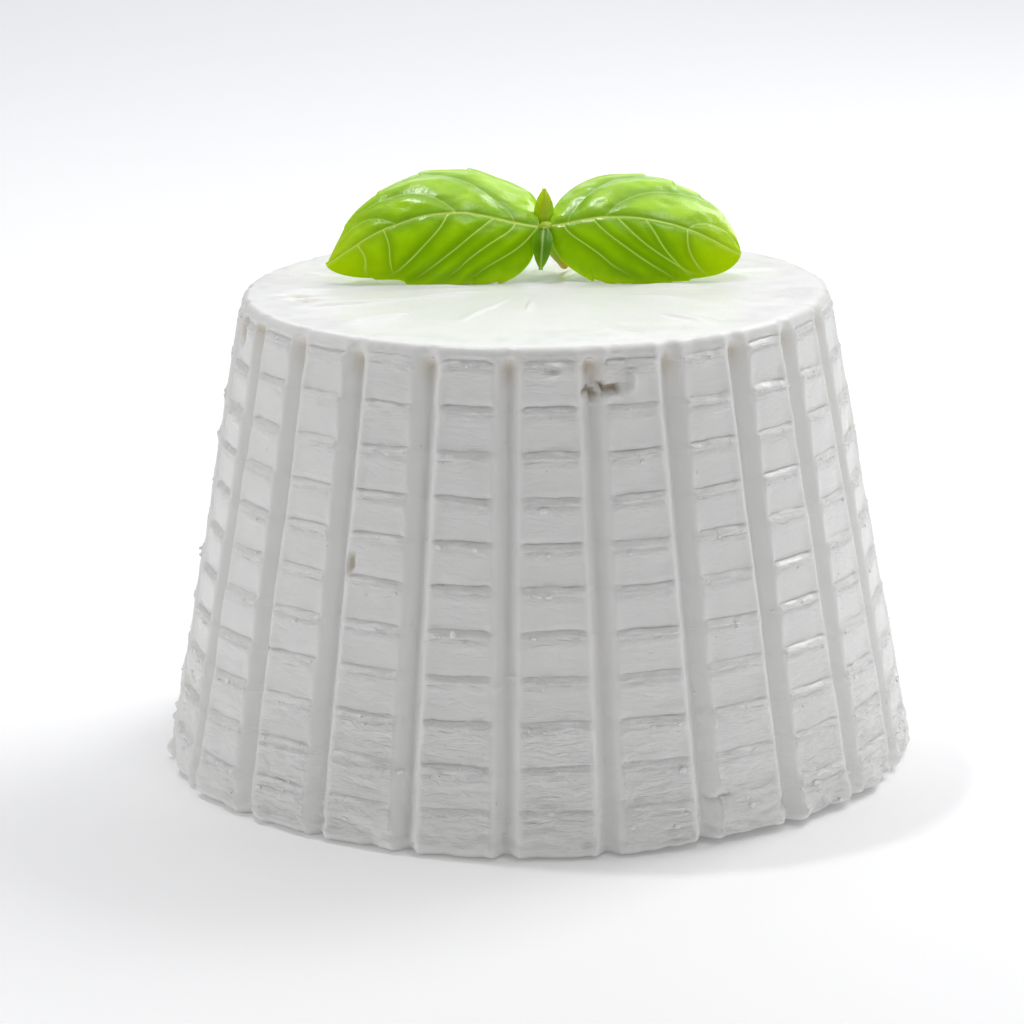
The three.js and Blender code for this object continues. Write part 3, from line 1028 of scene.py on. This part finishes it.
RIGHT_LEAF = {
    "midrib": [(3.2, 10, 104.4), (15.6, 8.2, 106.6), (30.3, 7, 104.1), (41.2, 6, 98.9)],
    "near": (13.8, 0.7, 0.55, -0.1), "far": (15.6, 0.66, 0.6, 0.2),
    "side": (0, 1, 0), "facing": (0, -0.6, 0.8),
    "lean": 46, "tip_lean": 15, "arch": 44, "flatten": 0.8, "length": 40,
    "near_veins": (
        (0.08, 0.49, 1.0), (0.23, 0.55, 0.6), (0.35, 0.57, 0.5),
        (0.48, 0.36, 0.4), (0.67, 0.25, 0.6),
    ),
    "far_veins": ((0.1, 0.4, 0.8), (0.3, 0.5, 0.6), (0.67, 0.5, 0.6)),
    "puff": 0.36, "puff_width": 1.5, "thickness": 0.3, "seed": 82,
    "edge": toothed_edge((0.18, 0.36, 0.56, 0.68, 0.8), (0.44, 0.56, 0.68, 0.82), 0.05),
}
leaf_left = build_blade("leaf_left_blade", LEFT_LEAF, 290, 168)
leaf_right = build_blade("leaf_right_blade", RIGHT_LEAF, 280, 168)

# %% The two young leaves
YOUNG = {
    "near": (2.15, 0.77, 0.42, 0.3), "far": (2.15, 0.77, 0.42, 0.3),
    "side": (1, 0, 0), "lean": 0, "tip_lean": 0, "arch": 30, "flatten": 0.5, "length": 8,
    "near_veins": ((0.1, 0.4, 0.5), (0.35, 0.4, 0.5)), "far_veins": ((0.12, 0.4, 0.5), (0.38, 0.4, 0.5)),
    "puff": 0.22, "puff_width": 0.6, "thickness": 0.26, "seed": 83,
    "edge": toothed_edge((0.6,), (0.72,), 0.02),
}
BACK_YOUNG = {
    **YOUNG, "facing": (0, -1, 0.3),
    "midrib": [(2, 11.6, 104.2), (2, 11.8, 107.4), (2.1, 13, 111.6)],
}
FRONT_YOUNG = {
    **YOUNG, "near_veins": (), "far_veins": (), "facing": (0, -0.7, 0.7),
    "midrib": [(1.9, 8.6, 104.4), (1.6, 6.2, 101.6), (1.2, 4.6, 96.6)],
}
young_back = build_blade("young_leaf_back_blade", BACK_YOUNG, 60, 30)
young_front = build_blade("young_leaf_front_blade", FRONT_YOUNG, 60, 30)

# %% [markdown]
# ## The stem
#
# Mint-family stems are square with rounded edges, so the tube's section is a circle that
# swells at four corners. It thickens at the cut end and at the knob where the leaves leave.


# %% Square-edged tube
def build_stem(name, path, radius, rings_count, sides):
    """A closed tube along a path: section radius r (1 + 0.08 cos 4a), with a point at the
    middle of each end."""
    u = np.linspace(0, 1, rings_count)
    centre, along = smooth_curve(path, u)
    first = unit(np.cross(along, (1.0, 0.3, 0.0)))
    second = np.cross(along, first)
    a = np.linspace(0, 2 * math.pi, sides, endpoint=False)
    thick = radius * (1 + 0.12 * smoothstep(0.75, 1.0, u) + 0.05 * smooth_noise(u * 9, u * 0, 91))
    thick = thick * (1 + 0.9 * bump(u, 0.16)) * np.sqrt(np.clip(u / 0.06, 0.02, 1))
    section = thick[:, None] * (1 + 0.08 * np.cos(4 * a))
    tube = centre[:, None] + first[:, None] * (section * np.cos(a))[..., None]
    tube = tube + second[:, None] * (section * np.sin(a))[..., None]
    points = np.concatenate([centre[:1], tube.reshape(-1, 3), centre[-1:]])
    number = 1 + np.arange(rings_count * sides).reshape(rings_count, sides)
    after = np.roll(number, -1, axis=1)
    faces = faces_of(number[:-1], after[:-1], after[1:], number[1:])
    faces += faces_of(0, after[0], number[0])
    faces += faces_of(len(points) - 1, number[-1], after[-1])
    share = np.concatenate([[0], np.repeat(u, sides), [1]])
    return add_mesh(name, points, faces, {"along": share})


STEM_PATH = [(2, 9.9, 105.2), (3.4, 12.2, 99.4), (6.2, 15.4, 95.4)]
stem = build_stem("stem_tube", STEM_PATH, 0.86, 40, 24)

# %% [markdown]
# ## Fresh basil
#
# Young basil is waxy and full of water: light comes out of it yellow-green, and its skin
# gives soft highlights. Veins are paler than the blade; the tip and edges are yellower.

# %% Leaf material
CELL_PATCH_MM = 0.9


def basil_material(name, blade_shade_and_light_hex, tip_hex, vein_hex, roughness):
    """A waxy leaf. Its colour has painted shade beside the veins and painted light on the
    puffed lobes between them, with random patches of tone, and the tip's colour where the
    blade is thin. A bump adds the net of fine veins, and the wax shines most on the upper half."""
    material, tree, output, place = new_material(name)
    tip = move_range(tree, attribute(tree, "along"), (0.55, 1.1), kind="SMOOTHSTEP")
    rim = move_range(tree, attribute(tree, "edge"), (0.85, 1.1), kind="SMOOTHSTEP")
    thin = combine(tree, "MAXIMUM", tip, rim)
    # Painted light and shade: lighter on the lobes, darker beside the veins, mixed with random patches of
    # tone.
    light = combine(tree, "MULTIPLY", noise(tree, place, 5, 3.0), attribute(tree, "painted_lobe_light"))
    tone = blend(tree, move_range(tree, light, (-0.1, 0.6)), *blade_shade_and_light_hex)
    drawn = blend(tree, attribute(tree, "vein"), blend(tree, thin, tone, tip_hex), vein_hex)
    cells = add_node(tree, "ShaderNodeTexVoronoi", {"feature": "DISTANCE_TO_EDGE"}, {"Vector": place})
    cells.inputs["Scale"].default_value = 1 / (CELL_PATCH_MM * MM)
    net = relief(tree, move_range(tree, cells.outputs["Distance"], (0, 0.25)), 0.25, 0.05)
    wax = move_range(tree, attribute(tree, "upper_half"), target=(0.12, 0.55))
    links = {"Base Color": drawn, "Normal": net, "Specular IOR Level": wax}
    return surface(
        material, tree, output, links, Roughness=roughness,
        Subsurface_Weight=0.7, Subsurface_Radius=(0.8, 1.0, 0.05), Subsurface_Scale=0.35 * MM,
    )


def stem_material():
    """Pale green bark that dries to tan at the cut end, with fine streaks."""
    material, tree, output, place = new_material("cut_basil_stem")
    dry = move_range(tree, attribute(tree, "along"), (0.55, 0.95), kind="SMOOTHSTEP")
    bark = blend(tree, dry, "#b0cc28", "#e0b84c")
    links = {"Base Color": bark, "Normal": relief(tree, noise(tree, place, 0.5, 2.0), 0.4, 0.08)}
    return surface(
        material, tree, output, links, Roughness=0.5,
        Subsurface_Weight=0.3, Subsurface_Radius=(0.7, 1.0, 0.2), Subsurface_Scale=0.6 * MM,
    )


# %% Put the materials on
basil_skin = basil_material("waxy_basil_leaf", ("#84bc00", "#bcea00"), "#d6f400", "#e8ff78", 0.27)
# Painted light: the young leaf at the back has a paler, lit copy of the young-leaf colours, and the one at
# the front a darker, shaded copy.
lit_young_skin = basil_material("lit_tender_young_basil_leaf", ("#bcdc00", "#dcf820"), "#ecff30", "#c8dc40", 0.4)
dark_young_skin = basil_material(
    "shaded_young_basil_leaf", ("#5c9600", "#80b800"), "#98cc10", "#c4e27c", 0.32,
)
hand_over(leaf_left, "basil_leaf_left", basil_skin)
hand_over(leaf_right, "basil_leaf_right", basil_skin)
hand_over(young_back, "basil_young_leaf_back", lit_young_skin)
hand_over(young_front, "basil_young_leaf_front", dark_young_skin)
hand_over(stem, "basil_stem", stem_material())
print("leaf materials:", basil_skin.name, lit_young_skin.name, dark_young_skin.name)
